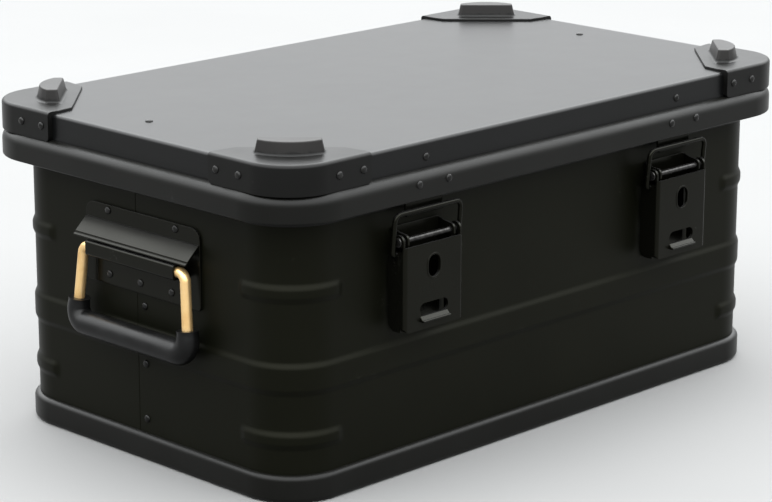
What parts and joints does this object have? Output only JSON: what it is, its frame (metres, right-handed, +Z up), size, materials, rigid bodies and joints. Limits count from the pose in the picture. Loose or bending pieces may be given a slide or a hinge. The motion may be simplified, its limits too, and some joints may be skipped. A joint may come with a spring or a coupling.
{
  "type": "footlocker",
  "caption": "Riveted black metal transport case with a hinged lid, draw latches, stacking corner protectors and a bail handle on each end.",
  "frame": {"origin": "on the floor under the centre of the case", "axes": "+Z up, +X along the length towards the right end, -Y towards the front with the latches"},
  "size_m": [0.607, 0.3794, 0.2763],
  "materials": {
    "body_paint": "matt black powder coat on pressed sheet",
    "lid_paint": "satin black powder coat on flat sheet",
    "frame_paint": "satin black powder coat on extruded frames",
    "guard_paint": "satin black coat on corner protectors",
    "hardware_paint": "satin black enamel on stamped hardware, worn bright at the lips",
    "inner_metal": "thin grey-black primer inside",
    "zinc_steel": "pale yellow zinc plate on bent steel rod",
    "bright_rivet": "darkened steel rivet heads and pins, rubbed brighter at the crown",
    "dark_rivet": "rivet heads under black paint",
    "grip_rubber": "moulded black grip, slightly grained",
    "seal_rubber": "soft black sponge seal",
    "strap_webbing": "woven olive-black webbing"
  },
  "bodies": {
    "case": {"front_shell": "body_paint", "rear_shell": "body_paint", "bottom_panel": "inner_metal", "bottom_frame": "frame_paint", "case_rim": "frame_paint", "seam_rivets": "dark_rivet", "bottom_rivets": "dark_rivet", "latch_base_left": "hardware_paint", "latch_base_right": "hardware_paint", "latch_pin_left": "bright_rivet", "latch_pin_right": "bright_rivet", "latch_rivets": "dark_rivet", "handle_plate_left": "hardware_paint", "handle_plate_right": "hardware_paint", "handle_clamp_left": "hardware_paint", "handle_clamp_right": "hardware_paint", "handle_rivets": "bright_rivet", "hinge_case_leaf_left": "hardware_paint", "hinge_case_leaf_right": "hardware_paint", "hinge_pin_left": "bright_rivet", "hinge_pin_right": "bright_rivet", "hinge_case_rivets": "dark_rivet", "lid_strap_left": "strap_webbing", "lid_strap_right": "strap_webbing"},
    "lid": {"lid_panel": "lid_paint", "lid_frame": "frame_paint", "lid_seal": "seal_rubber", "catch_left": "hardware_paint", "catch_right": "hardware_paint", "catch_rivets": "bright_rivet", "hinge_lid_leaf_left": "hardware_paint", "hinge_lid_leaf_right": "hardware_paint", "hinge_lid_rivets": "dark_rivet", "corner_guard_front_left": "guard_paint", "corner_guard_front_right": "guard_paint", "corner_guard_rear_left": "guard_paint", "corner_guard_rear_right": "guard_paint", "guard_rivets": "bright_rivet", "strap_bracket_left": "hardware_paint", "strap_bracket_right": "hardware_paint", "strap_rivets": "dark_rivet"},
    "latch_left": {"latch_lever_left": "hardware_paint"},
    "bail_left": {"latch_bail_left": "hardware_paint"},
    "handle_left": {"handle_bail_left": "zinc_steel", "handle_grip_left": "grip_rubber"},
    "latch_right": {"latch_lever_right": "hardware_paint"},
    "bail_right": {"latch_bail_right": "hardware_paint"},
    "handle_right": {"handle_bail_right": "zinc_steel", "handle_grip_right": "grip_rubber"}
  },
  "joints": [
    {"name": "lid_hinge", "type": "hinge", "parent": "case", "child": "lid", "pos_m": [0, 0.1875, 0.224], "axis": [-1, 0, 0], "range_deg": [0, 100]},
    {"name": "latch_left_lever", "type": "hinge", "parent": "case", "child": "latch_left", "pos_m": [-0.1485, -0.1765, 0.191], "axis": [-1, 0, 0], "range_deg": [0, 130]},
    {"name": "latch_left_bail", "type": "hinge", "parent": "latch_left", "child": "bail_left", "pos_m": [-0.1485, -0.1745, 0.181], "axis": [-1, 0, 0], "range_deg": [-130, 0]},
    {"name": "latch_right_lever", "type": "hinge", "parent": "case", "child": "latch_right", "pos_m": [0.1485, -0.1765, 0.191], "axis": [-1, 0, 0], "range_deg": [0, 130]},
    {"name": "latch_right_bail", "type": "hinge", "parent": "latch_right", "child": "bail_right", "pos_m": [0.1485, -0.1745, 0.181], "axis": [-1, 0, 0], "range_deg": [-130, 0]},
    {"name": "handle_left", "type": "hinge", "parent": "case", "child": "handle_left", "pos_m": [-0.29, 0, 0.165], "axis": [0, 1, 0], "range_deg": [0, 105]},
    {"name": "handle_right", "type": "hinge", "parent": "case", "child": "handle_right", "pos_m": [0.29, 0, 0.165], "axis": [0, -1, 0], "range_deg": [0, 105]}
  ],
  "couplings": [
    {"joint": "latch_left_bail", "follows": "latch_left_lever", "ratio": -1},
    {"joint": "latch_right_bail", "follows": "latch_right_lever", "ratio": -1}
  ]
}
